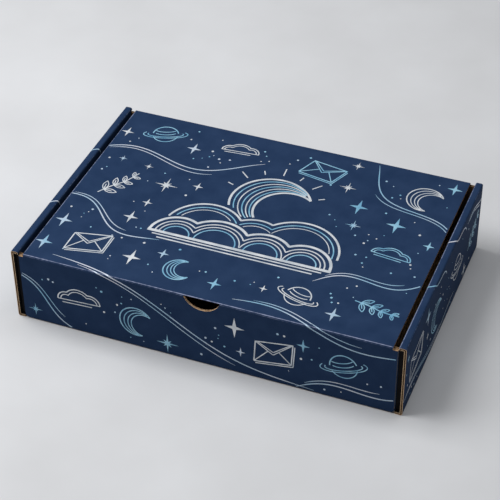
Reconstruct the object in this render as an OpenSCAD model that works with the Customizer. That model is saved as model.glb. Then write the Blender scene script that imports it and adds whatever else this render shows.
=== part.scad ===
// Book mailer box: one die-cut sheet of corrugated board, folded into a tray with
// rolled side walls, a hinged lid and a front flap with a thumb notch.
// Millimetres. Origin under the middle of the base, +Z up, front of the box at -Y.

/* [Box] */
// Width over the side walls
box_w = 300; // [240:1:380]
// Depth from the front flap to the back wall
box_d = 200; // [150:1:280]
// Height to the top of the rolled rims
box_h = 62; // [45:1:100]

/* [Board] */
// Thickness of the corrugated board
board_t = 1.8; // [1.6:0.1:3]
// Radius on the inside of a fold
crease_r = 0.3; // [0.2:0.1:0.5]
// Radius on the outside of a fold
edge_r = 1.4; // [0.8:0.1:1.6]

/* [Lid] */
// Open strip between the lid and each rim
lid_gap = 4; // [2:0.5:6]
// How far the lid lies below the rims
lid_drop = 1; // [0.5:0.5:3]

/* [Thumb notch] */
// Width of the half-moon notch at the crease
notch_w = 28; // [20:1:36]
// Depth of the notch below the crease
notch_depth = 10; // [7:1:12]

/* [Locks] */
// Length of the corner ears held inside the side walls
ear_len = 45; // [25:1:60]
// Length of each locking tab in the base
tab_len = 36; // [20:1:45]
// Distance between the two locking tabs of a side
tab_pitch = 96; // [70:1:100]

/* [Hidden] */
$fn = 64;
// Clear space between boards that move past each other
play = 0.4;
// Clear space between the plies of a rolled wall
ply_gap = 0.15;
// Width of the cut that parts two panels at a crease
crease_cut = 0.3;
// Clear space around a locking tab
slot_gap = 0.2;
// Radius on the flap's lower corners
flap_corner_r = 3;
// How far the front wall is cut back around the notch
notch_relief = 3;
// How far the ends of an ear narrow
ear_taper = 8;
// Length by which a cutter passes a face
past = 1;

half_w = box_w / 2;
front_y = -box_d / 2;
back_y = box_d / 2;
// Side of the square that the board takes up where it folds
fold_side = board_t + crease_r;
rim_w = 3 * board_t + 2 * ply_gap;
inner_x = half_w - rim_w;
ear_x = half_w - board_t - ply_gap;
panel_half = inner_x - play;
lid_half = inner_x - lid_gap;
lid_top = box_h - lid_drop;
lid_under = lid_top - board_t;
shoulder_z = lid_top - fold_side;
flap_foot = 0.35 * board_t;
front_wall_y = front_y + board_t + play;
front_wall_top = lid_under - play;
inner_wall_front = front_wall_y + board_t + play;
inner_wall_back = back_y - board_t - play;
inner_wall_foot = board_t + crease_r;
ear_foot = fold_side + crease_cut;
// Half the cut, measured along an axis of a crease that is cut at 45 degrees
half_cut = crease_cut / sqrt(2);
crease_z = lid_top - edge_r * (1 - sin(45));
notch_r = (notch_w * notch_w / 4 + notch_depth * notch_depth) / (2 * notch_depth);
notch_z = crease_z - notch_depth + notch_r;

// Extrusion of an X-Z outline along Y
module along_y(y0, y1) {
    translate([0, y1, 0]) rotate([90, 0, 0]) linear_extrude(y1 - y0) children();
}

// Extrusion of a Y-Z outline along X
module along_x(x0, x1) {
    translate([x0, 0, 0]) rotate([90, 0, 90]) linear_extrude(x1 - x0) children();
}

// Extrusion of an X-Y outline along Z
module along_z(z0, z1) {
    translate([0, 0, z0]) linear_extrude(z1 - z0) children();
}

// Rectangle with a corner at the origin, in the quarter given by the two signs
module quarter(w, h, side_a, side_b) {
    translate([min(side_a, 0) * w, min(side_b, 0) * h]) square([w, h]);
}

// Section of the board bent round a crease, in the quarter given by the two signs
module fold(at, side_a, side_b) {
    flat = fold_side - edge_r;
    translate(at) difference() {
        intersection() {
            quarter(fold_side, fold_side, side_a, side_b);
            union() {
                quarter(fold_side, flat, side_a, side_b);
                quarter(flat, fold_side, side_a, side_b);
                translate([side_a * flat, side_b * flat]) circle(r = edge_r);
            }
        }
        circle(r = crease_r);
    }
}

// Lid's half of a crease, up to the 45 degree cut
module fold_lid_half(at, side) {
    reach = fold_side + past;
    translate(at) intersection() {
        fold([0, 0], side, 1);
        polygon([[0, half_cut], [side * reach, reach + half_cut], [0, reach + half_cut]]);
    }
}

// Upright panel's half of a crease, up to the 45 degree cut
module fold_panel_half(at, side) {
    reach = fold_side + past;
    translate(at) intersection() {
        fold([0, 0], side, 1);
        polygon([[side * half_cut, 0], [side * (reach + half_cut), reach], [side * (reach + half_cut), 0]]);
    }
}

// Rolled side wall on the right: base strip, outer panel and rim, as one bent section
module rolled_wall_section() {
    translate([inner_x, 0]) square([rim_w - fold_side, board_t]);
    fold([half_w - fold_side, fold_side], 1, -1);
    translate([half_w - board_t, fold_side]) square([board_t, box_h - 2 * fold_side]);
    fold([half_w - fold_side, box_h - fold_side], 1, 1);
    translate([inner_x + fold_side, box_h - board_t]) square([rim_w - 2 * fold_side, board_t]);
    fold([inner_x + fold_side, box_h - fold_side], -1, 1);
}

// Inner panel of the rolled wall, with its two locking tabs
module inner_panel() {
    along_x(inner_x, inner_x + board_t) {
        translate([inner_wall_front, inner_wall_foot])
            square([inner_wall_back - inner_wall_front, box_h - fold_side - inner_wall_foot]);
        for (side = [-1, 1])
            translate([side * tab_pitch / 2 - tab_len / 2, slot_gap])
                square([tab_len, inner_wall_foot]);
    }
}

// Slots in the base for the locking tabs of one side
module tab_slots() {
    along_z(-past, board_t + past)
        for (side = [-1, 1])
            translate([inner_x - slot_gap, side * tab_pitch / 2 - tab_len / 2 - slot_gap])
                square([board_t + 2 * slot_gap, tab_len + 2 * slot_gap]);
}

// Plan of a wall whose ends bend back into ears; dir is the way the ears run along Y
module ear_corner_plan(wall_y, dir) {
    for (side = [-1, 1]) {
        translate([side < 0 ? fold_side - ear_x : panel_half, dir < 0 ? wall_y - board_t : wall_y])
            square([ear_x - fold_side - panel_half, board_t]);
        fold([side * (ear_x - fold_side), wall_y + dir * fold_side], side, -dir);
    }
}

// Tapered ear inside a rolled wall
module ear_outline(wall_y, dir, top) {
    root = wall_y + dir * fold_side;
    tip = root + dir * ear_len;
    polygon([[root, ear_foot], [tip, ear_foot + ear_taper], [tip, top - ear_taper], [root, top]]);
}

module ears(wall_y, dir, top) {
    along_z(ear_foot, top) ear_corner_plan(wall_y, dir);
    along_x(ear_x - board_t, ear_x) ear_outline(wall_y, dir, top);
    along_x(-ear_x, board_t - ear_x) ear_outline(wall_y, dir, top);
}

// Front wall, cut back behind the thumb notch
module front_wall() {
    difference() {
        along_x(-panel_half, panel_half) {
            fold([front_wall_y + fold_side, fold_side], -1, -1);
            translate([front_wall_y, fold_side]) square([board_t, front_wall_top - fold_side]);
        }
        along_y(front_y - past, inner_wall_front)
            translate([0, notch_z]) circle(r = notch_r + notch_relief);
    }
    ears(front_wall_y, 1, front_wall_top);
}

// Back wall, with its half of the lid's crease
module back_wall() {
    along_x(-panel_half, panel_half) {
        fold([back_y - fold_side, fold_side], 1, -1);
        translate([back_y - board_t, fold_side]) square([board_t, shoulder_z - fold_side]);
    }
    along_x(-lid_half, lid_half) fold_panel_half([back_y - fold_side, shoulder_z], 1);
    ears(back_y, -1, shoulder_z);
}

module base() {
    along_z(0, board_t)
        translate([-inner_x, front_wall_y + fold_side])
            square([2 * inner_x, back_y - front_wall_y - 2 * fold_side]);
}

module tray() {
    color([0.11, 0.16, 0.26]) {
        difference() {
            union() {
                base();
                along_y(front_y, back_y) rolled_wall_section();
                mirror([1, 0, 0]) along_y(front_y, back_y) rolled_wall_section();
            }
            tab_slots();
            mirror([1, 0, 0]) tab_slots();
        }
        inner_panel();
        mirror([1, 0, 0]) inner_panel();
        front_wall();
        back_wall();
    }
}

module lid() {
    color([0.13, 0.2, 0.32])
        along_x(-lid_half, lid_half) {
            translate([front_y + fold_side, lid_under]) square([box_d - 2 * fold_side, board_t]);
            fold_lid_half([front_y + fold_side, shoulder_z], -1);
            fold_lid_half([back_y - fold_side, shoulder_z], 1);
        }
}

// Flap's face with rounded lower corners
module flap_outline() {
    foot = flap_foot + flap_corner_r;
    translate([-panel_half, foot]) square([2 * panel_half, shoulder_z - foot]);
    translate([flap_corner_r - panel_half, flap_foot])
        square([2 * (panel_half - flap_corner_r), shoulder_z - flap_foot]);
    for (side = [-1, 1])
        translate([side * (panel_half - flap_corner_r), foot]) circle(r = flap_corner_r);
}

module front_flap() {
    color([0.11, 0.16, 0.26])
        difference() {
            union() {
                along_y(front_y, front_y + board_t) flap_outline();
                along_x(-lid_half, lid_half) fold_panel_half([front_y + fold_side, shoulder_z], -1);
            }
            along_y(front_y - past, front_wall_y) translate([0, notch_z]) circle(r = notch_r);
        }
}

tray();
lid();
front_flap();
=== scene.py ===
# Looks of a folded book mailer box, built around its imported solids.
# Lengths in the drawing are millimetres; points leave it in metres.
import math
from collections import namedtuple

import bpy
import numpy as np
from mathutils import Euler, Matrix, Vector


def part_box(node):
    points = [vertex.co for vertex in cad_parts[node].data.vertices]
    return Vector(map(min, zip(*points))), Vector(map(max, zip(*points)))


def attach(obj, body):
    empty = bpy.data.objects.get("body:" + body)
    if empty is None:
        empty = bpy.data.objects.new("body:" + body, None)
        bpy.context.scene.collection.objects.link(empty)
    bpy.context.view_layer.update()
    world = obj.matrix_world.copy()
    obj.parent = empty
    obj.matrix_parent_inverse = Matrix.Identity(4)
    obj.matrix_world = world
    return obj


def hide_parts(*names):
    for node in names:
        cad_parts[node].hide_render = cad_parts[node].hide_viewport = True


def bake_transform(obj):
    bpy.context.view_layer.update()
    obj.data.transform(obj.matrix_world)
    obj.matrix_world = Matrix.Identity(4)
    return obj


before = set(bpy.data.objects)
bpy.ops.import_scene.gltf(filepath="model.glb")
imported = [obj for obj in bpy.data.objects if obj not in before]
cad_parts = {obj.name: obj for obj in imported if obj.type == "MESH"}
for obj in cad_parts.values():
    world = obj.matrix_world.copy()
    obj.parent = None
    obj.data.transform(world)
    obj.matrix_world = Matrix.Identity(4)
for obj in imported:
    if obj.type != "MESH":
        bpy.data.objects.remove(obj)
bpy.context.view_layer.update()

MM = 0.001
RANDOM = np.random.default_rng(7)


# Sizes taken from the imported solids
def reach(node, axis):
    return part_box(node)[1][axis] / MM


def foot(node, axis):
    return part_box(node)[0][axis] / MM


HALF_W = reach("tray", 0)
BACK_Y = reach("tray", 1)
FRONT_Y = -BACK_Y
BOX_H = reach("tray", 2)
LID_HALF = reach("lid", 0)
LID_TOP = reach("lid", 2)
FLAP_HALF = reach("front_flap", 0)
FLAP_FOOT = foot("front_flap", 2)
BOARD = reach("front_flap", 1) - foot("front_flap", 1)

# Sizes shared with the solids' source
CREASE_R = 0.3
EDGE_R = 1.4
PLY_GAP = 0.15
PLAY = 0.4
HALF_CUT = 0.15
SLOT_GAP = 0.2
EAR_LEN = 45
EAR_TAPER = 8
TAB_LEN = 36
TAB_PITCH = 96
NOTCH_W = 28
NOTCH_DEPTH = 10
NOTCH_RELIEF = 3
FLAP_CORNER = 3

FOLD_SIDE = BOARD + CREASE_R
FOLD_FLAT = FOLD_SIDE - EDGE_R
RIM_W = 3 * BOARD + 2 * PLY_GAP
INNER_X = HALF_W - RIM_W
EAR_X = HALF_W - BOARD - PLY_GAP
SHOULDER_Z = LID_TOP - FOLD_SIDE
CREASE_TOP = LID_TOP - EDGE_R
FRONT_WALL_Y = FRONT_Y + BOARD + PLAY
FRONT_WALL_TOP = LID_TOP - BOARD - PLAY
INNER_FRONT = FRONT_WALL_Y + BOARD + PLAY
INNER_BACK = BACK_Y - BOARD - PLAY
INNER_FOOT = BOARD + CREASE_R
EAR_FOOT = FOLD_SIDE + 2 * HALF_CUT
CREASE_Z = LID_TOP - EDGE_R * (1 - math.sin(math.pi / 4))
NOTCH_R = (NOTCH_W**2 / 4 + NOTCH_DEPTH**2) / (2 * NOTCH_DEPTH)
NOTCH_Z = CREASE_Z - NOTCH_DEPTH + NOTCH_R

# Make-up of the corrugated board
LINER = 0.32
MEDIUM = 0.25
FLUTE_PITCH = 4.8
FLUTE_STEP = 0.35

# How far the fluted middle stands back from a cut edge
RECESS = 1.3
SIDE_RECESS = 0.5
NOTCH_RECESS = 0.35

# Height of the skins over the creases and of the ink, and the least gap between two planes of ink
SKIN = 0.05
INK = 0.03
INK_STEP = 0.002
INK_PLANES = 23

# Half the width of a step in an outline, and the turn at which an edge counts as sharp
STEP = 0.01
SHARP_TURN = math.radians(35)

# Material slots of a piece of board, and those that its faces have unless told otherwise
# SHADED is near-black painted shade, CORE is dark painted shade of the hollow flutes, and the last slot
# is a lighter kraft as painted light
PRINT_FACE, KRAFT_FACE, CUT_EDGE, FLUTES, CORE, SHADED, GREY_EDGE, PAINTED_LIGHT_EDGE = range(8)
BOARD_SLOTS = {
    "face": PRINT_FACE,
    "back": KRAFT_FACE,
    "edge": CUT_EDGE,
    "side": CUT_EDGE,
    "core": CORE,
    "core_side": CORE,
}


class FoldPath:
    """Printed face of the sheet in one plane: runs with quarter folds to the left, where the board is."""

    def __init__(self, start, heading, runs):
        self.parts = []
        self.marks = [0.0]
        point = np.array(start, float)
        angle = math.radians(heading)
        for length in runs:
            ahead = np.array([math.cos(angle), math.sin(angle)])
            left = np.array([-math.sin(angle), math.cos(angle)])
            self.add(length, point, angle, False)
            centre = point + length * ahead + EDGE_R * left
            self.add(EDGE_R * math.pi / 2, centre, angle, True)
            point = centre + EDGE_R * ahead
            angle += math.pi / 2
        # No fold follows the last run
        self.parts.pop()
        self.marks.pop()

    def add(self, length, origin, angle, bent):
        begin = self.marks[-1]
        self.parts.append((begin, begin + length, origin, angle, bent))
        self.marks.append(begin + length)

    def at(self, s, depth):
        s = np.asarray(s, float)
        found = np.zeros(s.shape + (2,))
        last = len(self.parts) - 1
        radius = max(EDGE_R - depth, CREASE_R)
        inward = radius + depth - EDGE_R
        for i, (begin, end, origin, angle, bent) in enumerate(self.parts):
            here = (s >= begin if i else s < np.inf) & (s <= end if i < last else s < np.inf)
            along = s - begin
            ahead = np.array([math.cos(angle), math.sin(angle)])
            left = np.array([-math.sin(angle), math.cos(angle)])
            if bent:
                now = angle + along / EDGE_R
                spoke = np.stack([np.sin(now), -np.cos(now)], -1)
                points = origin + inward * (left - ahead) + radius * spoke
            else:
                first = inward if i else -np.inf
                final = end - begin - inward if i < last else np.inf
                points = origin + np.clip(along, first, final)[..., None] * ahead + depth * left
            found[here] = points[here]
        return found

    def stations(self, per_fold=8):
        """Distances along the face that follow its folds."""
        found = [0.0]
        for begin, end, _, _, bent in self.parts:
            steps = per_fold if bent else 1
            found += [begin + (end - begin) * k / steps for k in range(1, steps + 1)]
        return np.array(found)


# The sheet from the front wall round the base, back wall and lid to the flap, in Y and Z
BODY = FoldPath(
    (FRONT_WALL_Y, FRONT_WALL_TOP),
    -90,
    [
        FRONT_WALL_TOP - EDGE_R,
        BACK_Y - FRONT_WALL_Y - 2 * EDGE_R,
        CREASE_TOP - EDGE_R,
        2 * (BACK_Y - EDGE_R),
        CREASE_TOP - FLAP_FOOT,
    ],
)
BACK_FOOT, BACK_FOLD, LID_BACK, LID_FRONT, FLAP_TOP, FLAP_END = BODY.marks[4:]
BACK_CREASE = (BACK_FOLD + LID_BACK) / 2
FRONT_CREASE = (LID_FRONT + FLAP_TOP) / 2

# A rolled side wall from the base strip over the rim to the inner panel, in X and Z
SIDE = FoldPath(
    (INNER_X, 0),
    0,
    [RIM_W - EDGE_R, BOX_H - 2 * EDGE_R, RIM_W - 2 * EDGE_R, BOX_H - EDGE_R - SLOT_GAP],
)
OUTER_FOOT, OUTER_TOP, RIM_OUT, RIM_IN, INNER_TOP, INNER_END = SIDE.marks[2:]
PANEL_TOP = INNER_TOP + FOLD_FLAT

# A wall's end that bends back into an ear, in X and in the distance from the wall's face
EAR = FoldPath((INNER_X, 0), 0, [EAR_X - EDGE_R - INNER_X, EAR_LEN + FOLD_FLAT])
EAR_ROOT = EAR.marks[2] + FOLD_FLAT
EAR_TIP = EAR.marks[3]


def on_body(s, v, depth):
    flat = BODY.at(s, depth)
    return np.stack([v + 0 * s, flat[..., 0], flat[..., 1]], -1) * MM


def on_side(sign):
    def place(s, v, depth):
        flat = SIDE.at(s, depth)
        return np.stack([sign * flat[..., 0], v + 0 * s, flat[..., 1]], -1) * MM

    return place


def on_ear(sign, wall_y, way):
    def place(s, v, depth):
        flat = EAR.at(s, depth)
        return np.stack([sign * flat[..., 0], wall_y + way * flat[..., 1], v + 0 * s], -1) * MM

    return place


class Build:
    """Vertices and faces of one piece, with each vertex's place across the flutes and its wear, which
    also carries painted highlights.
    """

    def __init__(self):
        self.points = []
        self.flat = []
        self.faces = []
        self.slots = []

    def add(self, points, across, wear_and_highlight):
        first = len(self.points)
        self.points += [tuple(p) for p in points.reshape(-1, 3)]
        self.flat += [(a, w, 0.0) for a, w in zip(np.ravel(across), np.ravel(wear_and_highlight))]
        return first

    def face(self, corners, slot):
        kept = [c for i, c in enumerate(corners) if c != corners[i - 1]]
        if len(set(kept)) >= 3:
            self.faces.append(kept)
            self.slots.append(slot)

    def piece(self, name, materials):
        mesh = bpy.data.meshes.new(name)
        mesh.from_pydata(self.points, [], self.faces)
        for material in materials:
            mesh.materials.append(material)
        mesh.polygons.foreach_set("material_index", self.slots)
        mesh.polygons.foreach_set("use_smooth", [True] * len(self.faces))
        layer = mesh.attributes.new("board", "FLOAT_VECTOR", "POINT")
        layer.data.foreach_set("vector", np.array(self.flat, np.float32).ravel())
        mesh.update()
        mesh.set_sharp_from_angle(angle=SHARP_TURN)
        obj = bpy.data.objects.new(name, mesh)
        bpy.context.scene.collection.objects.link(obj)
        return obj


def slab(build, place, s, v, d0, d1, slots, across, wear_and_highlight):
    """Closed layer of the board between two depths, on a grid of places on the sheet."""
    rows, columns = s.shape
    top = place(s, v, d0)
    bottom = place(s, v, d1)
    low = build.add(top, across, wear_and_highlight)
    high = build.add(bottom, across, wear_and_highlight * 0)
    grid = np.arange(rows * columns).reshape(rows, columns)
    for i in range(1, rows):
        same = np.abs(s[i] - s[i - 1]) < 1e-9
        grid[i][same] = grid[i - 1][same]
    span_s = top[-1, 0] - top[0, 0] if rows < 3 else top[rows // 2 + 1, 0] - top[rows // 2, 0]
    span_v = top[rows // 2, -1] - top[rows // 2, 0]
    outward = top[rows // 2, 0] - bottom[rows // 2, 0]
    turn = 1 if np.dot(np.cross(span_s, span_v), outward) >= 0 else -1

    def quad(a, b, c, d, slot):
        build.face([a, b, c, d][::turn], slot)

    t0 = grid + low
    t1 = grid + high
    for i in range(rows - 1):
        for j in range(columns - 1):
            quad(t0[i, j], t0[i + 1, j], t0[i + 1, j + 1], t0[i, j + 1], slots[0])
            quad(t1[i, j], t1[i, j + 1], t1[i + 1, j + 1], t1[i + 1, j], slots[1])
    edges = np.broadcast_to(slots[2], columns - 1)
    for j in range(columns - 1):
        quad(t0[0, j], t0[0, j + 1], t1[0, j + 1], t1[0, j], edges[j])
        quad(t0[-1, j + 1], t0[-1, j], t1[-1, j], t1[-1, j + 1], edges[j])
    for i in range(rows - 1):
        quad(t0[i + 1, 0], t0[i, 0], t1[i, 0], t1[i + 1, 0], slots[3])
        quad(t0[i, -1], t0[i + 1, -1], t1[i + 1, -1], t1[i, -1], slots[3])


def flute_edge(build, place, s, v, s_in, v_in, across, slot=FLUTES):
    """Wavy middle layer of the board along a cut that crosses the flutes."""
    swing = (BOARD - 2 * LINER - MEDIUM) / 2
    depth = BOARD / 2 + swing * np.sin(2 * np.pi * across / FLUTE_PITCH)
    rows = []
    for s_row, v_row, side in ((s, v, -1), (s, v, 1), (s_in, v_in, 1), (s_in, v_in, -1)):
        points = np.array([place(a, b, d) for a, b, d in zip(s_row, v_row, depth + side * MEDIUM / 2)])
        rows.append(build.add(points, across, across * 0))
    for k in range(len(s) - 1):
        for a, b in ((0, 1), (1, 2), (3, 0)):
            build.face([rows[a] + k, rows[b] + k, rows[b] + k + 1, rows[a] + k + 1], slot)


def board(build, place, stations, columns, low, high, insets, across_is_v, wear_and_highlight=None, **own_slots):
    """Corrugated board on part of the sheet: two liners and a middle set back from the cut edges."""
    slots = {**BOARD_SLOTS, **own_slots}
    edges = (slots["edge"], slots["side"])
    core_edges = (slots["core"], slots["core_side"])
    low = np.broadcast_to(low, columns.shape).astype(float)
    high = np.broadcast_to(high, columns.shape).astype(float)
    first, last, start, end = insets

    def grid(inset):
        lo = low + (first if inset else 0)
        hi = high - (last if inset else 0)
        v = columns.copy()
        if inset:
            v[0] += start
            v[-1] -= end
        s = np.clip(stations[:, None], lo[None, :], np.maximum(lo, hi)[None, :])
        return s, np.broadcast_to(v, s.shape)

    for inset, d0, d1, layer in (
        (False, 0, LINER, (slots["face"], KRAFT_FACE, *edges)),
        (False, BOARD - LINER, BOARD, (KRAFT_FACE, slots["back"], *edges)),
        (True, LINER + STEP, BOARD - LINER - STEP, (CORE, CORE, *core_edges)),
    ):
        s, v = grid(inset)
        wear_and_highlight_here = wear_and_highlight(s, v) if wear_and_highlight else s * 0
        slab(build, place, s, v, d0, d1, layer, v if across_is_v else s, wear_and_highlight_here)


def with_steps(values, *places):
    """Sorted columns with a pair of columns at each place where the outline steps."""
    pairs = [p + d for p in places for d in (-STEP, STEP)]
    return np.unique(np.round(np.concatenate([values, pairs]), 4))


def samples(a, b, step):
    return np.linspace(a, b, max(2, int(abs(b - a) / step) + 1))


def notch_foot(x, radius):
    """Height of a round notch's lower edge at each place along X."""
    inside = np.clip(radius**2 - x**2, 0, None)
    return NOTCH_Z - np.sqrt(inside)


def notch_columns(radius, rim_z, count=36):
    half = math.sqrt(radius**2 - (NOTCH_Z - rim_z) ** 2)
    angles = np.linspace(-1, 1, count) * math.asin(half / radius)
    return radius * np.sin(angles), half


NOTCH_COLUMNS, NOTCH_HALF = notch_columns(NOTCH_R, CREASE_Z)


def cover_place(z):
    """Distance along the sheet of a height on the front crease or flap."""
    lifted = np.clip((z - CREASE_TOP) / EDGE_R, 0, 1)
    return np.where(z > CREASE_TOP, LID_FRONT + EDGE_R * np.arccos(lifted), FLAP_TOP + CREASE_TOP - z)


class Look:
    """A procedural material and the node steps that the materials share."""

    def __init__(self, name):
        self.material = bpy.data.materials.new(name)
        self.material.use_nodes = True
        self.nodes = self.material.node_tree.nodes
        self.links = self.material.node_tree.links
        self.inputs = self.nodes["Principled BSDF"].inputs
        self.place = self.nodes.new("ShaderNodeTexCoord").outputs["Object"]

    def put(self, socket, value):
        if isinstance(value, bpy.types.NodeSocket):
            self.links.new(value, socket)
        else:
            socket.default_value = value

    def set(self, name, value):
        self.put(self.inputs[name], value)

    def noise(self, scale, detail):
        node = self.nodes.new("ShaderNodeTexNoise")
        self.put(node.inputs["Scale"], scale)
        self.put(node.inputs["Detail"], detail)
        self.put(node.inputs["Vector"], self.place)
        return node.outputs["Fac"]

    def ramp(self, fac, low, high, *colours):
        node = self.nodes.new("ShaderNodeValToRGB")
        for element, position, colour in zip(node.color_ramp.elements, (low, high), colours):
            element.position = position
            element.color = (*colour, 1)
        self.put(node.inputs["Fac"], fac)
        return node.outputs["Color"]

    def calc(self, operation, a, b=0.0):
        node = self.nodes.new("ShaderNodeMath")
        node.operation = operation
        self.put(node.inputs[0], a)
        self.put(node.inputs[1], b)
        return node.outputs[0]

    def mix(self, fac, under, over):
        node = self.nodes.new("ShaderNodeMix")
        node.data_type = "RGBA"
        self.put(node.inputs["Factor"], fac)
        self.put(node.inputs[6], under)
        self.put(node.inputs[7], (*over, 1))
        return node.outputs[2]

    def bump(self, height, strength, distance, under=None):
        node = self.nodes.new("ShaderNodeBump")
        self.put(node.inputs["Height"], height)
        self.put(node.inputs["Strength"], strength)
        self.put(node.inputs["Distance"], distance)
        if under is not None:
            self.put(node.inputs["Normal"], under)
        return node.outputs["Normal"]

    def board_layer(self):
        """Place across the flutes and wear of each point of the board; the wear also carries painted
        highlights.
        """
        layer = self.nodes.new("ShaderNodeAttribute")
        layer.attribute_name = "board"
        parts = self.nodes.new("ShaderNodeSeparateXYZ")
        self.put(parts.inputs[0], layer.outputs["Vector"])
        return parts.outputs["X"], parts.outputs["Y"]

    def paper(self, across, rib, fibre, grain):
        """Ribs of the flutes and grain of the paper."""
        ribs = self.calc("SINE", self.calc("MULTIPLY", across, 2 * math.pi / FLUTE_PITCH))
        self.set("Normal", self.bump(fibre, *grain, self.bump(ribs, *rib)))


# Scale and detail of the noises
MOTTLE = (70, 5)
FIBRE = (900, 3)
RUB = (420, 6)
RUB_PATCH = (60, 4)
KRAFT_CLOUD = (160, 6)
KRAFT_FIBRE = (1400, 4)
KRAFT_SPECK = (700, 2)
INK_DETAIL = 4
FLOOR_CLOUD = (9, 8)

# Strength and depth of the bumps
PRINT_RIB = (0.03, 0.0002)
PRINT_GRAIN = (0.10, 0.0002)
KRAFT_GRAIN = (0.25, 0.0003)
KRAFT_RIB_DEPTH = 0.0004
FACE_RIB = 0.25

NAVY_DARK = (0.0150, 0.0335, 0.0820)
NAVY_LIGHT = (0.0215, 0.0440, 0.1010)
SCUFF_AND_HIGHLIGHT = (0.200, 0.235, 0.360)
CREASE_SCUFF_AND_HIGHLIGHT = (0.290, 0.325, 0.470)
KRAFT_DARK = (0.225, 0.130, 0.066)
KRAFT_LIGHT = (0.395, 0.252, 0.140)
FLOOR_DARK = (0.60, 0.605, 0.62)
FLOOR_LIGHT = (0.68, 0.69, 0.71)
SPECK_COVER = 0.6
SPECK_SHADE = 0.6


def grey(value):
    return (value, value, value)


def printed_material(name, scuff_share, scuff_and_highlight):
    """Dark blue print on board: faint ribs of the flutes, mottled ink, worn folds with pale painted
    highlights on edges that face the lamp.
    """
    look = Look(name)
    across, wear_and_highlight = look.board_layer()
    mottled = look.noise(*MOTTLE)
    ink = look.ramp(mottled, 0.3, 0.7, NAVY_DARK, NAVY_LIGHT)
    rub_and_highlight = look.calc("MULTIPLY", look.noise(*RUB), look.noise(*RUB_PATCH))
    rub_and_highlight = look.calc("MULTIPLY", look.calc("ADD", rub_and_highlight, scuff_share), wear_and_highlight)
    # Pale where the wear channel is high: partly rubbed print, partly a painted highlight on edges that
    # face the lamp
    mask = look.ramp(rub_and_highlight, 0.13, 0.33, grey(0), grey(1))
    look.set("Base Color", look.mix(mask, ink, scuff_and_highlight))
    look.set("Roughness", look.ramp(mottled, 0.25, 0.75, grey(0.56), grey(0.68)))
    look.set("Specular IOR Level", 0.02)
    look.paper(across, PRINT_RIB, look.noise(*FIBRE), PRINT_GRAIN)
    return look.material


def kraft_material(name, dark, light, rib_strength=0.0):
    """Bare brown board with fibres and specks."""
    look = Look(name)
    across, _ = look.board_layer()
    fibre = look.noise(*KRAFT_FIBRE)
    both = look.calc("MULTIPLY", look.calc("ADD", look.noise(*KRAFT_CLOUD), fibre), 0.5)
    colour = look.ramp(both, 0.36, 0.64, dark, light)
    mask = look.ramp(look.noise(*KRAFT_SPECK), 0.66, 0.72, grey(0), grey(SPECK_COVER))
    speck = tuple(SPECK_SHADE * part for part in dark)
    look.set("Base Color", look.mix(mask, colour, speck))
    look.set("Roughness", 0.88)
    look.set("Specular IOR Level", 0.2)
    look.paper(across, (rib_strength, KRAFT_RIB_DEPTH), fibre, KRAFT_GRAIN)
    return look.material


def ink_material(name, dark, light, scale, metallic):
    """Pale ink with a slight shine, a little broken by the board's fibres."""
    look = Look(name)
    cloudy = look.noise(scale, INK_DETAIL)
    look.set("Base Color", look.ramp(cloudy, 0.36, 0.64, dark, light))
    look.set("Metallic", metallic)
    look.set("Roughness", look.ramp(cloudy, 0.3, 0.7, grey(0.5), grey(0.36)))
    look.set("Normal", look.bump(look.noise(*FIBRE), *PRINT_GRAIN))
    return look.material


def floor_material():
    look = Look("pale_floor")
    cloudy = look.noise(*FLOOR_CLOUD)
    look.set("Base Color", look.ramp(cloudy, 0.25, 0.75, FLOOR_DARK, FLOOR_LIGHT))
    look.set("Roughness", 0.75)
    return look.material


printed = printed_material("printed_board", 0.0, SCUFF_AND_HIGHLIGHT)
creased = printed_material("worn_and_highlit_crease", 0.06, CREASE_SCUFF_AND_HIGHLIGHT)
kraft = kraft_material("kraft_face", KRAFT_DARK, KRAFT_LIGHT, FACE_RIB)
scored = kraft_material("kraft_score", (0.150, 0.086, 0.044), (0.290, 0.182, 0.100), FACE_RIB)
cut_edge = kraft_material("kraft_cut_edge", (0.33, 0.195, 0.098), (0.56, 0.365, 0.205))
flutes = kraft_material("kraft_flutes", (0.15, 0.084, 0.040), (0.30, 0.180, 0.092))
# Near-black core behind the cut edges: painted shade of the hollow flutes
core = kraft_material("painted_shade_core", (0.016, 0.009, 0.005), (0.045, 0.026, 0.014))
# Near-black: painted shade for the corner recesses, the gap beside the lid and the inside of the rolled
# walls
shaded = kraft_material("painted_shade_black", (0.003, 0.003, 0.004), (0.009, 0.008, 0.009))
# Grey cut edges for the flap's two sides
grey_edge = kraft_material("grey_cut_edge", (0.15, 0.15, 0.16), (0.26, 0.26, 0.27))
# Lighter kraft for cut edges in shade: painted light, on the flap's top edge under the lid, the thumb
# notch and the side walls' ends
painted_light_edge = kraft_material("painted_light_cut_edge", (0.62, 0.40, 0.22), (0.88, 0.66, 0.44))
silver = ink_material("silver_ink", (0.50, 0.55, 0.60), (0.74, 0.77, 0.80), 120, 0.2)
blue = ink_material("blue_ink", (0.15, 0.38, 0.56), (0.30, 0.56, 0.72), 120, 0.1)
foil = ink_material("foil_ink", (0.20, 0.44, 0.62), (0.66, 0.69, 0.78), 22, 0.15)
BOARD_MATERIALS = [printed, kraft, cut_edge, flutes, core, shaded, grey_edge, painted_light_edge]


# How strongly the print is rubbed, and the width of a rubbed edge; the hardest rubbing, on the lid's left
# edge and the right rim's inner fold, which face the lamp, is partly a painted highlight
HARD_WEAR_AND_HIGHLIGHT = 1.4
RIM_WEAR = 0.6
SLIGHT_WEAR = 0.5
EDGE_WEAR_AND_HIGHLIGHT = 0.9


# The box's pieces
def fold_wear(begin, end):
    def wear_and_highlight(s, v):
        return np.clip(1 - np.abs(2 * (s - begin) / (end - begin) - 1), 0, 1)

    return wear_and_highlight


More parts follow.
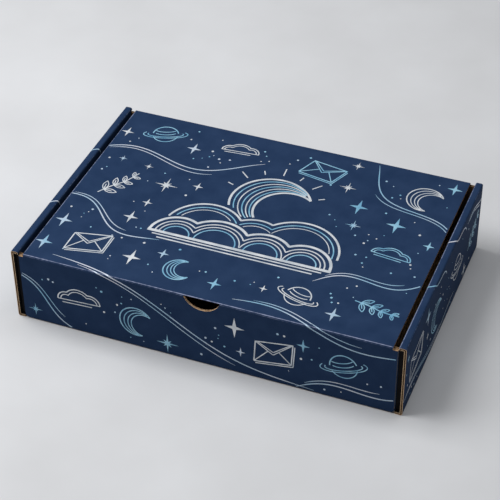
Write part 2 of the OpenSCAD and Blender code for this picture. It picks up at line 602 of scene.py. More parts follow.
def rim_wear_and_highlight(sign):
    outer, inner = fold_wear(OUTER_TOP, RIM_OUT), fold_wear(RIM_IN, INNER_TOP)
    # The right rim's inner fold faces the lamp: its pale line is partly wear, partly a painted highlight
    rub_and_highlight_strength = HARD_WEAR_AND_HIGHLIGHT if sign > 0 else RIM_WEAR

    def wear_and_highlight(s, v):
        return RIM_WEAR * outer(s, v) + rub_and_highlight_strength * inner(s, v)

    return wear_and_highlight


def in_slots(v, gap):
    middle = np.abs(np.abs(v) - TAB_PITCH / 2)
    return middle < TAB_LEN / 2 + gap


def slot_ends(gap):
    return [a * TAB_PITCH / 2 + b * (TAB_LEN / 2 + gap) for a in (-1, 1) for b in (-1, 1)]


def side_wall(build, sign):
    place = on_side(sign)
    stations = SIDE.stations()
    columns = with_steps(np.array([FRONT_Y, BACK_Y]), *slot_ends(SLOT_GAP))
    slot_depth = BOARD + SLOT_GAP
    low = np.where(in_slots(columns, SLOT_GAP), slot_depth, 0.0)
    insets = (0.0, 0.0, RECESS, RECESS)
    stations = np.union1d(stations, [slot_depth])
    # The outer panel's inside is painted near-black as shade in the recess at the wall's ends, and the
    # end edges are lightened as painted light
    slots = {"back": SHADED, "side": PAINTED_LIGHT_EDGE}
    board(build, place, stations, columns, low, PANEL_TOP, insets, False, rim_wear_and_highlight(sign), **slots)
    for end, way in ((FRONT_Y, 1), (BACK_Y, -1)):
        s = samples(0, PANEL_TOP, FLUTE_STEP)
        v = np.full(s.shape, end)
        flute_edge(build, place, s, v, s, v + way * RECESS, s)
    columns = with_steps(np.array([INNER_FRONT, INNER_BACK]), *slot_ends(0))
    high = np.where(in_slots(columns, 0), INNER_END, INNER_END + SLOT_GAP - INNER_FOOT)
    panel = np.array([PANEL_TOP, INNER_END - INNER_FOOT, INNER_END])
    board(build, place, panel, columns, PANEL_TOP, high, (0.0, SIDE_RECESS, RECESS, RECESS), False)


def ears(build):
    for sign in (-1, 1):
        for wall_y, way, top in ((FRONT_WALL_Y, 1, FRONT_WALL_TOP), (BACK_Y, -1, SHOULDER_Z)):
            place = on_ear(sign, wall_y, way)
            heights = np.array([EAR_FOOT, top])
            stations = EAR.stations()
            bend = np.append(stations[stations < EAR_ROOT], EAR_ROOT)
            # The ears' faces, here and at their tips, are painted near-black: painted shade of the deep
            # recess at the box's corners
            board(build, place, bend, heights, 0, EAR_ROOT, (0, 0, RECESS, RECESS), False, face=SHADED)
            tip = np.array([EAR_FOOT, EAR_FOOT + EAR_TAPER, top - EAR_TAPER, top])
            far = np.array([EAR_ROOT + STEP, EAR_TIP, EAR_TIP, EAR_ROOT + STEP])
            length = np.array([EAR_ROOT, EAR_TIP])
            board(build, place, length, tip, EAR_ROOT, far, (0, 0, 0, 0), False, face=SHADED)


RELIEF_R = NOTCH_R + NOTCH_RELIEF
RELIEF_COLUMNS, RELIEF_HALF = notch_columns(RELIEF_R, FRONT_WALL_TOP)


def relief_depth(v):
    """How far the front wall is cut back behind the thumb notch."""
    depth = FRONT_WALL_TOP - notch_foot(v, RELIEF_R)
    return np.where(np.abs(v) < RELIEF_HALF, np.clip(depth, 0, None), 0.0)


def tray_body(build):
    """Front wall with the notch's relief, base and back wall up to the lid's crease."""
    columns = np.concatenate([[-INNER_X, INNER_X], RELIEF_COLUMNS])
    columns = with_steps(columns, -LID_HALF, LID_HALF)
    low = relief_depth(columns)
    high = np.where(np.abs(columns) < LID_HALF, BACK_CREASE - HALF_CUT, BACK_FOLD - FOLD_FLAT)
    stations = BODY.stations()
    stations = np.append(stations[stations < BACK_CREASE], BACK_CREASE)
    stations = np.union1d(stations, np.linspace(0, relief_depth(0.0), 6))
    board(build, on_body, stations, columns, low, high, (RECESS, 0.0, 0.0, 0.0), True)
    v = samples(-INNER_X, INNER_X, FLUTE_STEP)
    s = relief_depth(v)
    flute_edge(build, on_body, s, v, s + RECESS, v, v)
    for sign in (-1, 1):
        v = sign * samples(LID_HALF, INNER_X, FLUTE_STEP)
        s = np.full(v.shape, BACK_FOLD - FOLD_FLAT)
        flute_edge(build, on_body, s, v, s - RECESS, v, v)


def make_tray():
    build = Build()
    tray_body(build)
    ears(build)
    side_wall(build, 1)
    side_wall(build, -1)
    piece = build.piece("tray_board", BOARD_MATERIALS)
    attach(piece, "tray")
    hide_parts("tray")


def lid_wear_and_highlight(s, v):
    # The lid's left edge faces the lamp: its pale band is partly wear, partly a painted highlight
    rub_and_highlight_strength = np.where(v < 0, HARD_WEAR_AND_HIGHLIGHT, SLIGHT_WEAR)
    return rub_and_highlight_strength * np.clip(1 - (LID_HALF - np.abs(v)) / EDGE_WEAR_AND_HIGHLIGHT, 0, 1)


def make_lid():
    build = Build()
    columns = np.array([-LID_HALF, EDGE_WEAR_AND_HIGHLIGHT - LID_HALF, LID_HALF - EDGE_WEAR_AND_HIGHLIGHT, LID_HALF])
    stations = BODY.stations()
    stations = stations[(stations > BACK_CREASE) & (stations < FRONT_CREASE)]
    stations = np.concatenate([[BACK_CREASE], stations, [FRONT_CREASE]])
    insets = (0.0, 0.0, SIDE_RECESS, SIDE_RECESS)
    low, high = BACK_CREASE + HALF_CUT, FRONT_CREASE - HALF_CUT
    # The lid's side edges and core are painted near-black: painted shade of the gap beside the rims
    slots = {"side": SHADED, "core_side": SHADED}
    board(build, on_body, stations, columns, low, high, insets, True, lid_wear_and_highlight, **slots)
    piece = build.piece("lid_board", BOARD_MATERIALS)
    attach(piece, "lid")
    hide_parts("lid")


def flap_limits(v):
    """Upper and lower edge of the flap along the sheet at each place along X."""
    top = np.where(np.abs(v) < LID_HALF, FRONT_CREASE + HALF_CUT, FLAP_TOP + FOLD_FLAT)
    notch = cover_place(notch_foot(v, NOTCH_R))
    top = np.where(np.abs(v) < NOTCH_HALF, np.maximum(top, notch), top)
    past = np.clip(np.abs(v) - (FLAP_HALF - FLAP_CORNER), 0, FLAP_CORNER)
    rise = FLAP_CORNER - np.sqrt(FLAP_CORNER**2 - past**2)
    return top, FLAP_END - rise


def make_flap():
    build = Build()
    turn = FLAP_HALF - FLAP_CORNER * (1 - np.sin(np.linspace(0, math.pi / 2, 8)))
    columns = with_steps(np.concatenate([NOTCH_COLUMNS, turn, -turn]), -LID_HALF, LID_HALF)
    low, high = flap_limits(columns)
    stations = BODY.stations()
    stations = stations[stations > FRONT_CREASE]
    depth = cover_place(notch_foot(np.zeros(1), NOTCH_R))[0]
    stations = np.union1d(stations, np.linspace(FLAP_TOP, depth, 8))
    stations = np.union1d(stations, [FRONT_CREASE, FLAP_END - FLAP_CORNER])
    insets = (NOTCH_RECESS, RECESS, 0.0, 0.0)
    # The flap's top edge under the lid, with its core, is lightened as painted light
    under_lid = np.abs(columns[1:] + columns[:-1]) / 2 < LID_HALF
    edges = np.where(under_lid, PAINTED_LIGHT_EDGE, CUT_EDGE)
    slots = {"edge": edges, "side": GREY_EDGE, "core": edges, "core_side": GREY_EDGE}
    board(build, on_body, stations, columns, low, high, insets, True, **slots)
    v = samples(-FLAP_HALF, FLAP_HALF, FLUTE_STEP)
    top, end = flap_limits(v)
    flute_edge(build, on_body, end, v, end - RECESS, v, v)
    notched = np.abs(v) < NOTCH_HALF
    # The notch's fluted middle is lightened as painted light as well
    for part, slot in ((notched, PAINTED_LIGHT_EDGE), (v < -LID_HALF, CUT_EDGE), (v > LID_HALF, CUT_EDGE)):
        inside = top[part] + NOTCH_RECESS
        flute_edge(build, on_body, top[part], v[part], inside, v[part], v[part], slot)
    piece = build.piece("flap_board", BOARD_MATERIALS)
    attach(piece, "front_flap")
    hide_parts("front_flap")


# How far the skins lap the panels beside a crease, and their rows and columns
CREASE_LAP = 1.6
SCORE_LAP = 0.9
SKIN_ROWS = 34
SCORE_ROWS = 9
SKIN_COLUMNS = 120

# Pale lines on a crease, partly rubbed print and partly painted highlight: place across the skin and
# strength
RUBBED_AND_HIGHLIT_LINES = [(0.42, 1.0), (0.62, 0.55)]
RUBBED_AND_HIGHLIT_WIDTH = 0.07


def crease_grid(stations, high):
    columns = np.linspace(-LID_HALF, LID_HALF, SKIN_COLUMNS)
    columns = np.union1d(columns, NOTCH_COLUMNS)
    s = np.clip(stations[:, None], None, high(columns)[None, :])
    return s, np.broadcast_to(columns, s.shape)


def crease_piece(build, name, material, begin, end, depth, bodies):
    piece = build.piece(name, [material])
    ends = on_body(np.array([begin, end]), np.zeros(2), depth)
    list(bodies)
    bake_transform(piece)


def crease_inside(name, begin, end, high, bodies):
    """Bare face of the sheet in the hollow of a crease."""
    build = Build()
    bend = np.linspace(begin, end, SCORE_ROWS)
    stations = np.concatenate([[begin - SCORE_LAP], bend, [end + SCORE_LAP]])
    s, v = crease_grid(stations, high)
    slab(build, on_body, s, v, BOARD, BOARD + SKIN, (0, 0, 0, 0), v, s * 0)
    crease_piece(build, name, scored, begin, end, BOARD, bodies)


def crease_skin(name, begin, end, high, bodies):
    """Printed face of the sheet where it runs over a crease, with pale lines along the fold that are
    partly wear and partly painted highlight.
    """
    build = Build()
    stations = np.linspace(begin - CREASE_LAP, end + CREASE_LAP, SKIN_ROWS)
    s, v = crease_grid(stations, high)
    share = (s - begin + CREASE_LAP) / (end - begin + 2 * CREASE_LAP)
    wear_and_highlight = sum(power * np.exp(-(((share - at) / RUBBED_AND_HIGHLIT_WIDTH) ** 2)) for at, power in RUBBED_AND_HIGHLIT_LINES)
    slab(build, on_body, s, v, -SKIN, 0.0, (0, 0, 0, 0), v, wear_and_highlight)
    crease_piece(build, name, creased, begin, end, 0, bodies)


def front_crease_end(v):
    return np.where(np.abs(v) < NOTCH_HALF, FRONT_CREASE, FLAP_TOP + CREASE_LAP)


def back_crease_end(v):
    return np.full(v.shape, LID_BACK + CREASE_LAP)


# Each crease: begin and end along the sheet, the skin's edge and the bodies it joins
FRONT_FOLD = (LID_FRONT, FLAP_TOP, front_crease_end, ("lid", "front_flap"))
REAR_FOLD = (BACK_FOLD, LID_BACK, back_crease_end, ("tray", "lid"))


# Printed line art, drawn flat in millimetres: across the panel, then up it
ART_STEP = 0.7
ARC_STEP = 6
EDGE_MARGIN = 0.4
LINE = 0.95
FINE = 0.7
DETAIL = 1.1 * FINE


def arc(radius, begin, end, centre=(0, 0), squash=1.0):
    angles = np.radians(np.linspace(begin, end, 2 + int(abs(end - begin) / ARC_STEP)))
    x = centre[0] + radius * np.cos(angles)
    y = centre[1] + squash * radius * np.sin(angles)
    return np.stack([x, y], -1)


def turned(points, degrees):
    angle = math.radians(degrees)
    cos, sin = math.cos(angle), math.sin(angle)
    return points @ np.array([[cos, sin], [-sin, cos]])


def line(*points):
    return np.array(points, float)


def smooth(points, per_span=24):
    """Curve through a few points."""
    p = np.array(points, float)
    p = np.concatenate([[2 * p[0] - p[1]], p, [2 * p[-1] - p[-2]]])
    t = np.linspace(0, 1, per_span, endpoint=False)[:, None]
    found = []
    for a, b, c, d in zip(p, p[1:], p[2:], p[3:]):
        bend = a - 2.5 * b + 2 * c - d / 2
        twist = 1.5 * (b - c) + (d - a) / 2
        found.append(b + t * (c - a) / 2 + t**2 * bend + t**3 * twist)
    return np.concatenate(found + [p[-2:-1]])


def moon(hatches=2):
    """Crescent whose inner lines share its two horns."""
    horn_angle = math.radians(50)
    tip = (math.cos(horn_angle), math.sin(horn_angle))
    strokes = []
    for k in range(hatches + 2):
        centre = 0.5 * k / (hatches + 1)
        radius = math.hypot(tip[0] - centre, tip[1])
        horn = math.degrees(math.atan2(tip[1], tip[0] - centre))
        trim = 16 if 0 < k <= hatches else 0
        strokes.append(arc(radius, horn + trim, 360 - horn - trim, (centre, 0)))
    return strokes


def planet():
    ball = 0.6
    bands = [arc(ball * 0.86, 205, 335, (0, drop), 0.4) for drop in (0.38, 0.16)]
    ring = [arc(1.05, 150, 390, squash=0.3), arc(0.84, 160, 380, squash=0.26)]
    return [arc(ball, 8, 172), arc(ball, 200, 340)] + bands + ring


def bank_height(x, bumps, shrink=0):
    """Height at each place of a row of round bumps that stand on one line."""
    return np.max([np.sqrt(np.clip((r - shrink) ** 2 - (x - c) ** 2, 0, None)) for c, r in bumps], 0)


def cloud_edge(bumps, shrink, count=90):
    left = min(x - r for x, r in bumps) + shrink
    right = max(x + r for x, r in bumps) - shrink
    x = np.linspace(left, right, count)
    return np.stack([x, bank_height(x, bumps, shrink)], -1)


def cloud():
    bumps = [(-0.58, 0.42), (-0.02, 0.66), (0.56, 0.46)]
    foot_line = line((-1.0, 0), (1.02, 0))
    return [
        cloud_edge(bumps, 0) - (0, 0.3),
        cloud_edge(bumps, 0.14) - (0, 0.3),
        foot_line - (0, 0.3),
        foot_line * 0.7 - (0.1, 0.46),
    ]


def letter():
    w, h = 0.95, 0.62
    strokes = [
        line((-w, -h), (w, -h), (w, h), (-w, h), (-w, -h)),
        line((-w, h), (0, -0.12), (w, h)),
        line((-w + 0.12, h - 0.02), (0, 0.04), (w - 0.12, h - 0.02)),
        line((-w, -h), (-0.26, 0.1)),
        line((w, -h), (0.26, 0.1)),
        line((-w + 0.08, -h - 0.12), (w + 0.1, -h - 0.12), (w + 0.1, h - 0.1)),
    ]
    return [s + np.stack([0.22 * s[:, 1], 0 * s[:, 1]], -1) for s in strokes]


def leaf(base, tip, bulge):
    base, tip = np.array(base), np.array(tip)
    t = np.linspace(0, 1, 12)[:, None]
    side = np.array([base[1] - tip[1], tip[0] - base[0]])
    swell = bulge * np.sin(np.pi * t) * side
    middle = base + t * (tip - base)
    return [np.concatenate([middle + swell, (middle - swell)[::-1]]), middle[:8]]


def sprig():
    stem = smooth([(-0.95, -0.35), (-0.3, -0.12), (0.3, 0.02), (0.95, 0.35)])
    strokes = [stem]
    for k in range(4):
        base = stem[10 + 17 * k]
        size = 0.52 - 0.07 * k
        strokes += leaf(base, base + size * np.array([0.55, 0.95]), 0.2)
        strokes += leaf(base, base + size * np.array([0.85, -0.7]), 0.2)
    return strokes


def clipped(stroke, bumps, drop, gap):
    """Runs of a stroke that stay above the upper edge of a nearer cloud."""
    rise = bank_height(stroke[:, 0], bumps)
    above = stroke[:, 1] > np.where(rise > 0, rise + gap, 0) + drop
    cuts = np.flatnonzero(np.diff(above.astype(int))) + 1
    runs = zip(np.split(stroke, cuts), np.split(above, cuts))
    return [run for run, kept in runs if kept.all() and len(run) > 1]


# The middle figure: places and radii of the clouds' bumps, and the height of their feet
NEAR_CLOUD = [(-50, 21), (-20, 27), (16, 24), (48, 22)]
FAR_CLOUD = [(-34, 30), (4, 24), (38, 33)]
NEAR_FOOT = -40
FAR_FOOT = -26
CLOUD_GAP = 2.5

# Distance inside the cloud's edge, width and ink of its lines
NEAR_LINES = [(0, 2.2, "silver"), (4.4, 1.1, "silver"), (7.6, LINE, "silver"), (10.8, LINE, "blue")]
FAR_LINES = [(0, 1.7, "silver"), (4.2, LINE, "blue"), (7.4, FINE, "silver")]
CLOUD_POINTS = {"near": 200, "far": 240}

# Foot lines, each one shorter than the one above it
FOOT_WIDTHS = (2.6, 1.3, 1.3)
FOOT_PITCH = 3.4
FOOT_LEFT = -72
FOOT_RIGHT = 71
FOOT_INSETS = (5, 6)

BIG_MOON = (2, 20)
BIG_MOON_SIZE = 31
BIG_MOON_TURN = -24
BIG_MOON_HATCHES = 5
BIG_MOON_WIDTH = 1.8
RAYS = 7
RAY_BEGIN = 28
RAY_PITCH = 22
RAY_INNER = 37
RAY_OUTER = (42, 46)


def cloud_banks():
    """Near bank of cloud on its foot lines, and the far bank where it shows above it."""
    art = []
    for shrink, width, colour in NEAR_LINES:
        edge = cloud_edge(NEAR_CLOUD, shrink, CLOUD_POINTS["near"]) + (0, NEAR_FOOT)
        art.append((edge, width, colour))
    for k, width in enumerate(FOOT_WIDTHS):
        height = NEAR_FOOT - FOOT_PITCH * k
        left = FOOT_LEFT + FOOT_INSETS[0] * k
        right = FOOT_RIGHT - FOOT_INSETS[1] * k
        art.append((line((left, height), (right, height)), width, "silver"))
    for shrink, width, colour in FAR_LINES:
        edge = cloud_edge(FAR_CLOUD, shrink, CLOUD_POINTS["far"]) + (0, FAR_FOOT)
        art += [(run, width, colour) for run in clipped(edge, NEAR_CLOUD, NEAR_FOOT, CLOUD_GAP)]
    return art


def rising_moon():
    """Large crescent behind the banks of cloud."""
    art = []
    for k, stroke in enumerate(moon(BIG_MOON_HATCHES)):
        drawn = turned(stroke, BIG_MOON_TURN) * BIG_MOON_SIZE + BIG_MOON
        inner = (LINE, "blue" if k % 2 else "silver")
        width, colour = (BIG_MOON_WIDTH, "silver") if k in (0, BIG_MOON_HATCHES + 1) else inner
        for run in clipped(drawn, NEAR_CLOUD, NEAR_FOOT, CLOUD_GAP):
            parts = clipped(run, FAR_CLOUD, FAR_FOOT, CLOUD_GAP)
            art += [(part, width, colour) for part in parts]
    return art


def moon_rays():
    """Short rays over the crescent, long and short in turn."""
    art = []
    for k in range(RAYS):
        ray = line((RAY_INNER, 0), (RAY_OUTER[k % 2], 0))
        art.append((turned(ray, RAY_BEGIN + RAY_PITCH * k) + BIG_MOON, LINE, "silver"))
    return art


# A sparkle's shorter points, by their number, and its waist, as shares of its size
SHORT_POINTS = {4: 0.82, 8: 0.5}
WAIST = 0.22


def sparkle(points, size):
    """Star outline about its own middle, its points long and short in turn."""
    angles = np.pi / 2 + np.arange(2 * points) * np.pi / points
    radii = np.tile([size, WAIST * size, SHORT_POINTS[points] * size, WAIST * size], points // 2)
    return np.stack([radii * np.cos(angles), radii * np.sin(angles)], -1)


def dot(size):
    return arc(size, 0, 324)


def taper(count):
    """Share of its width that a flowing line has along its length, narrow at both ends."""
    t = np.linspace(0.04, 0.96, count)
    return np.clip(2.2 * np.sin(t * np.pi), 0.25, 1)


# Sizes of the scattered shapes, space kept clear when one is laid, and space it then holds
STARS = ((4.0, 9.5), 4.0, 3.0)
DOTS = ((0.4, 1.0), 1.2, 0.9)
SMALLEST_STAR = 2.0
EIGHT_POINTED = 0.4
TRIES = 80
SCATTER_INKS = ["silver", "foil", "blue"]

# Points of a flowing line, and the stretch of it that a second line follows
WAVE_POINTS = 120
BESIDE = slice(12, 88)


def free_spot(spots, taken, room):
    """First place that keeps its distance from all that is taken."""
    for spot in spots:
        if all(math.hypot(spot[0] - u, spot[1] - w) > r + room for u, w, r in taken):
            return spot
    return None


# A printed face: where its points lie, where it ends, and which piece carries each part
Panel = namedtuple("Panel", "place inside zone")


def resampled(points):
    steps = np.hypot(*np.diff(points, axis=0).T)
    along = np.concatenate([[0], np.cumsum(steps)])
    if along[-1] == 0:
        return points
    at = np.linspace(0, along[-1], max(3, int(along[-1] / ART_STEP)))
    return np.stack([np.interp(at, along, points[:, k]) for k in (0, 1)], -1)


class Press:
    """Lays strokes and filled shapes on panels, gathered by piece and ink."""

    def __init__(self):
        self.builds = {}
        self.laid = 0

    def lift(self, zone):
        """Depth of the next shape; shapes that cross lie in planes of their own."""
        self.laid += 1
        return -INK - INK_STEP * (self.laid % INK_PLANES) - (SKIN if zone == "crease" else 0)

    def stroke(self, panel, points, width, colour, tapered=False):
        p = resampled(points)
        ahead = np.gradient(p, axis=0)
        side = np.stack([-ahead[:, 1], ahead[:, 0]], -1)
        side /= np.linalg.norm(side, axis=1, keepdims=True) + 1e-12
        half = np.full(len(p), width / 2)
        if tapered:
            half *= taper(len(p))
        left, right = p + side * half[:, None], p - side * half[:, None]
        good = panel.inside(*left.T) & panel.inside(*right.T)
        zones = panel.zone(*p.T)
        start = 0
        while start < len(p) - 1:
            if not (good[start] and good[start + 1]):
                start += 1
                continue
            end = start + 1
            while end < len(p) - 1 and good[end + 1] and zones[end] == zones[start]:
                end += 1
            self.strip(panel, left[start : end + 1], right[start : end + 1], zones[start], colour)
            start = end

    def lay(self, panel, points, faces, zone, colour):
        """Faces over points of a panel, turned to look outwards."""
        build = self.builds.setdefault((zone, colour), Build())
        depth = self.lift(zone)
        placed = panel.place(*points.T, depth)
        out = panel.place(*points.T, depth - 1)[0] - placed[0]
        corner, after, before = (placed[faces[0][k]] for k in (0, 1, -1))
        flip = np.dot(np.cross(after - corner, before - corner), out) < 0
        plain = np.zeros(len(points))
        first = build.add(placed, plain, plain)
        for face in faces:
            corners = [first + k for k in face]
            build.face(corners[::-1] if flip else corners, 0)

    def strip(self, panel, left, right, zone, colour):
        count = len(left)
        faces = [(k, k + 1, count + k + 1, count + k) for k in range(count - 1)]
        self.lay(panel, np.concatenate([left, right]), faces, zone, colour)

    def fill(self, panel, centre, outline, colour):
        points = np.concatenate([[centre], outline + centre])
        if panel.inside(*points.T).all():
            count = len(outline)
            faces = [(0, 1 + k, 1 + (k + 1) % count) for k in range(count)]
            self.lay(panel, points, faces, panel.zone(*points[:1].T)[0], colour)

    def figure(self, panel, strokes, u, w, turn, size, colour):
        for k, stroke in enumerate(strokes):
            self.stroke(panel, turned(stroke, turn) * size + (u, w), DETAIL if k else LINE, colour)

    def wave(self, panel, begin, end, swing, cycles, gap):
        """Flowing line that swings about a straight course, with a shorter line that parts from it."""
        begin, end = np.array(begin, float), np.array(end, float)
        t = np.linspace(0, 1, WAVE_POINTS)[:, None]
        course = end - begin
        across = np.array([-course[1], course[0]]) / np.linalg.norm(course)
        curve = begin + t * course + swing * np.sin(2 * np.pi * cycles * t) * across
        self.stroke(panel, curve, LINE, "foil", tapered=True)
        if gap:
            beside = curve + gap * (0.35 + t) * across
            self.stroke(panel, beside[BESIDE], FINE, "foil", tapered=True)
        return [(u, w, abs(gap)) for u, w in curve + 0.6 * gap * across]

    def scatter(self, panel, kept_clear, low, high, stars, dots):
        """Sparkles and dots at random places clear of the figures."""
        taken = list(kept_clear)
        for count, (sizes, apart, held) in ((stars, STARS), (dots, DOTS)):
            for size in sorted(RANDOM.uniform(*sizes, count), reverse=True):
                points = 8 if RANDOM.random() < EIGHT_POINTED else 4
                colour = SCATTER_INKS[RANDOM.integers(len(SCATTER_INKS))]
                spot = free_spot(RANDOM.uniform(low, high, (TRIES, 2)), taken, size + apart)
                if spot is not None:
                    outline = sparkle(points, size) if size > SMALLEST_STAR else dot(size)
                    self.fill(panel, spot, outline, colour)
                    taken.append((*spot, size + held))

    def finish(self):
        inks = {"silver": silver, "blue": blue, "foil": foil}
        bodies = {"lid": "lid", "flap": "front_flap", "tray": "tray"}
        for (zone, colour), build in sorted(self.builds.items()):
            piece = build.piece(zone + "_print_" + colour, [inks[colour]])
            if zone == "crease":
                ends = on_body(np.array([LID_FRONT, FLAP_TOP]), np.zeros(2), 0)
                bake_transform(piece)
            else:
                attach(piece, bodies[zone])


# How far the print of a side wall stays above the floor, and how far it runs down the inner panel
SIDE_PRINT_FOOT = 1
INNER_PRINT = 8


# Printed panels
def cover_point(u, w, depth):
    return on_body(FRONT_CREASE - w, u, depth)


def cover_inside(u, w):
    s = FRONT_CREASE - w
    half = np.where(s > FLAP_TOP, FLAP_HALF, LID_HALF) - EDGE_MARGIN
    height = np.where(s > FLAP_TOP, CREASE_TOP - (s - FLAP_TOP), CREASE_Z)
    notched = (s > FRONT_CREASE) & (np.hypot(u, height - NOTCH_Z) < NOTCH_R + EDGE_MARGIN)
    return (np.abs(u) < half) & (s < FLAP_END - EDGE_MARGIN) & (s > LID_BACK + CREASE_LAP) & ~notched


def cover_zone(u, w):
    s = FRONT_CREASE - w
    below = np.where(s < FLAP_TOP + CREASE_LAP, "crease", "flap")
    return np.where(s < LID_FRONT - CREASE_LAP, "lid", below)


def tray_zone(u, w):
    return np.full(np.shape(u), "tray")


def back_point(u, w, depth):
    return on_body(BACK_FOOT + w - EDGE_R, -u, depth)


def back_inside(u, w):
    return (np.abs(u) < LID_HALF) & (w > EDGE_R) & (w < SHOULDER_Z - CREASE_LAP)


def side_point(sign):
    def place(u, w, depth):
        return on_side(sign)(OUTER_FOOT + w - EDGE_R, sign * u, depth)

    return place


def side_inside(u, w):
    s = OUTER_FOOT + w - EDGE_R
    return (np.abs(u) < BACK_Y - EDGE_MARGIN) & (w > SIDE_PRINT_FOOT) & (s < INNER_TOP + INNER_PRINT)


FIGURES = {"moon": moon, "planet": planet, "cloud": cloud, "letter": letter, "sprig": sprig}

# Figure, place across, place up, turn, size and ink
COVER_FIGURES = [
    ("planet", -104, 176, 18, 17, "blue"),
    ("cloud", -40, 179, 4, 15, "silver"),
    ("letter", 30, 173, -10, 15, "blue"),
    ("moon", 114, 166, -25, 14, "silver"),
    ("sprig", -112, 104, 38, 19, "silver"),
    ("letter", -102, 30, 12, 15, "silver"),
    ("cloud", 110, 96, -6, 15, "blue"),
    ("planet", 62, 27, -16, 16, "silver"),
    ("moon", -28, 24, 20, 11, "blue"),
    ("sprig", 118, 34, -30, 17, "blue"),
    ("cloud", -98, -27, 3, 17, "silver"),
    ("moon", -52, -37, -20, 13, "blue"),
    ("letter", 54, -33, 9, 15, "silver"),
    ("planet", 106, -29, 16, 17, "blue"),
]
SIDE_FIGURES = [
    ("letter", -72, 32, 8, 15, "silver"),
    ("moon", -20, 27, -20, 13, "blue"),
    ("planet", 34, 31, -14, 17, "silver"),
    ("sprig", 80, 32, 14, 17, "blue"),
]
BACK_FIGURES = [
    ("letter", -106, 36, -10, 15, "blue"),
    ("sprig", -30, 24, 12, 18, "silver"),
    ("cloud", 28, 39, 0, 16, "blue"),
    ("moon", 104, 27, -20, 15, "silver"),
]
FIGURE_ROOM = 1.05
MIDDLE_FIGURE = (4, 100)
MIDDLE_ROOM = [(4, 122, 46), (-42, 78, 30), (50, 80, 30), (4, 70, 40)]

# Flowing lines: begin, end, swing, number of swings and distance of the line beside it
COVER_WAVES = [
    ((-152, 138), (-14, 158), 10, 1.15, -5),
    ((-150, 78), (-56, 46), 8, 1.1, 4.5),
    ((66, 46), (151, 74), 7, 1.1, 4.5),
    ((151, 111), (64, 192), -11, 1.1, 4.5),
    ((-120, 8), (84, -61), 8, 1.05, -4.5),
    ((20, 8), (155, -12), 6, 1.1, 4.5),
    ((-154, -16), (-94, -63), 5, 1.0, 4.5),
    ((70, -60), (156, -41), 5, 0.95, 4.5),
]
SIDE_WAVES = [
    ((-108, 10), (30, 7), 4, 1.2, 3),
    ((58, 53), (110, 51), 3, 0.9, -3),
]
BACK_WAVES = [
    ((-146, 12), (-2, 46), -7, 1.0, 3),
    ((4, 14), (84, 42), -7, 1.0, -3),
]

# Single lines that run down over the rim of each side wall
RIM_WAVES = {1: (-34, 20), -1: (-40, 32)}
RIM_WAVE_RUN = 34
RIM_WAVE_TOP = INNER_TOP - OUTER_FOOT + EDGE_R + 4
RIM_WAVE_FOOT = 0.76 * BOX_H

# Scattered areas: low corner, high corner, and numbers of sparkles and dots
LID_SKY = ((-134, 13), (134, 192), 34, 90)
FLAP_SKY = ((-137, -56), (137, -13), 16, 34)
SIDE_SKY = ((-96, 5), (96, 51), 10, 26)
BACK_SKY = ((-134, 5), (134, 54), 14, 30)


def draw_figures(press, panel, figures):
    for name, u, w, turn, size, colour in figures:
        press.figure(panel, FIGURES[name](), u, w, turn, size, colour)
    return [(u, w, size * FIGURE_ROOM) for _, u, w, _, size, _ in figures]


def draw_waves(press, panel, waves):
    return [room for wave in waves for room in press.wave(panel, *wave)]


def print_cover(press):
    panel = Panel(cover_point, cover_inside, cover_zone)
    for stroke, width, colour in cloud_banks() + rising_moon() + moon_rays():
        press.stroke(panel, stroke + MIDDLE_FIGURE, width, colour)
    clear = draw_figures(press, panel, COVER_FIGURES) + MIDDLE_ROOM
    clear += draw_waves(press, panel, COVER_WAVES)
    press.scatter(panel, clear, *LID_SKY)
    press.scatter(panel, clear, *FLAP_SKY)


def print_side(press, sign):
    panel = Panel(side_point(sign), side_inside, tray_zone)
    clear = draw_figures(press, panel, SIDE_FIGURES)
    ends = [((u, RIM_WAVE_TOP), (u + RIM_WAVE_RUN, RIM_WAVE_FOOT)) for u in RIM_WAVES[sign]]
    clear += draw_waves(press, panel, SIDE_WAVES + [(*pair, -5, 0.9, 0) for pair in ends])
    press.scatter(panel, clear, *SIDE_SKY)


def print_back(press):
    panel = Panel(back_point, back_inside, tray_zone)
    clear = draw_figures(press, panel, BACK_FIGURES)
    clear += draw_waves(press, panel, BACK_WAVES)
    press.scatter(panel, clear, *BACK_SKY)


# Camera, light and floor
CAMERA_AZ = math.radians(21.55)
CAMERA_EL = math.radians(39.03)
CAMERA_ROLL = math.radians(-0.5)
CAMERA_DIST = 1206 * MM
CAMERA_AIM = Vector((-1.56, -2.13, BOX_H / 2)) * MM
FOCAL_PX = 1594
PICTURE_PX = 500
SENSOR_MM = 36
NEAREST = 0.01

# Place, size and power of the lamps, and colour and strength of the light from all round
KEY = ((-0.72, -0.16, 1.2), 0.9, 17.5)
FILL = ((0.35, 0.5, 1.8), 1.2, 8)
SKY_COLOUR = (0.96, 0.98, 1.0, 1)
SKY_STRENGTH = 0.2

FLOOR_HALF = 4
FLOOR_DROP = 0.0002


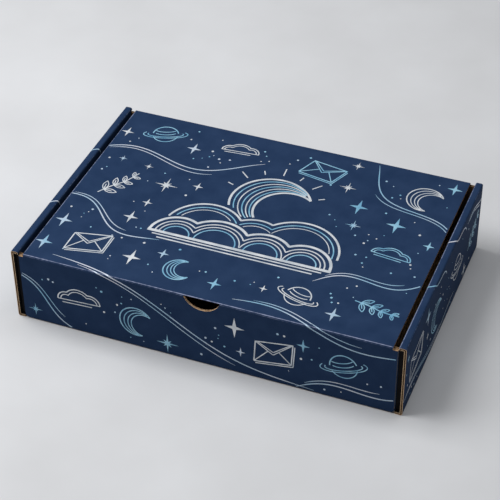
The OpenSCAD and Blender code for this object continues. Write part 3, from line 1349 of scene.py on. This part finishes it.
def make_camera():
    data = bpy.data.cameras.new("camera")
    data.sensor_width = SENSOR_MM
    data.lens = FOCAL_PX / PICTURE_PX * SENSOR_MM
    data.clip_start = NEAREST
    camera = bpy.data.objects.new("camera", data)
    bpy.context.scene.collection.objects.link(camera)
    turn = Euler((math.pi / 2 - CAMERA_EL, 0, CAMERA_AZ)).to_matrix()
    turn = turn @ Matrix.Rotation(CAMERA_ROLL, 3, "Z")
    place = CAMERA_AIM + CAMERA_DIST * turn.col[2]
    camera.matrix_world = Matrix.LocRotScale(place, turn, None)
    bpy.context.scene.camera = camera


def area_light(name, place, size, power):
    data = bpy.data.lights.new(name, "AREA")
    data.size = size
    data.energy = power
    lamp = bpy.data.objects.new(name, data)
    lamp.location = place
    lamp.rotation_mode = "QUATERNION"
    lamp.rotation_quaternion = Vector(place).to_track_quat("Z", "Y")
    bpy.context.scene.collection.objects.link(lamp)


def make_floor():
    mesh = bpy.data.meshes.new("floor")
    signs = ((-1, -1), (1, -1), (1, 1), (-1, 1))
    corners = [(a * FLOOR_HALF, b * FLOOR_HALF, -FLOOR_DROP) for a, b in signs]
    mesh.from_pydata(corners, [], [(0, 1, 2, 3)])
    mesh.materials.append(floor_material())
    floor = bpy.data.objects.new("floor", mesh)
    bpy.context.scene.collection.objects.link(floor)


def make_light():
    area_light("key", *KEY)
    area_light("fill", *FILL)
    world = bpy.data.worlds.new("studio")
    world.use_nodes = True
    background = world.node_tree.nodes["Background"]
    background.inputs["Color"].default_value = SKY_COLOUR
    background.inputs["Strength"].default_value = SKY_STRENGTH
    bpy.context.scene.world = world
    bpy.context.scene.view_settings.view_transform = "Standard"


make_tray()
make_lid()
make_flap()
crease_skin("front_crease", *FRONT_FOLD)
crease_skin("back_crease", *REAR_FOLD)
crease_inside("front_crease_inside", *FRONT_FOLD)
crease_inside("back_crease_inside", *REAR_FOLD)
press = Press()
print_cover(press)
print_side(press, 1)
print_side(press, -1)
print_back(press)
press.finish()
make_floor()
make_light()
make_camera()
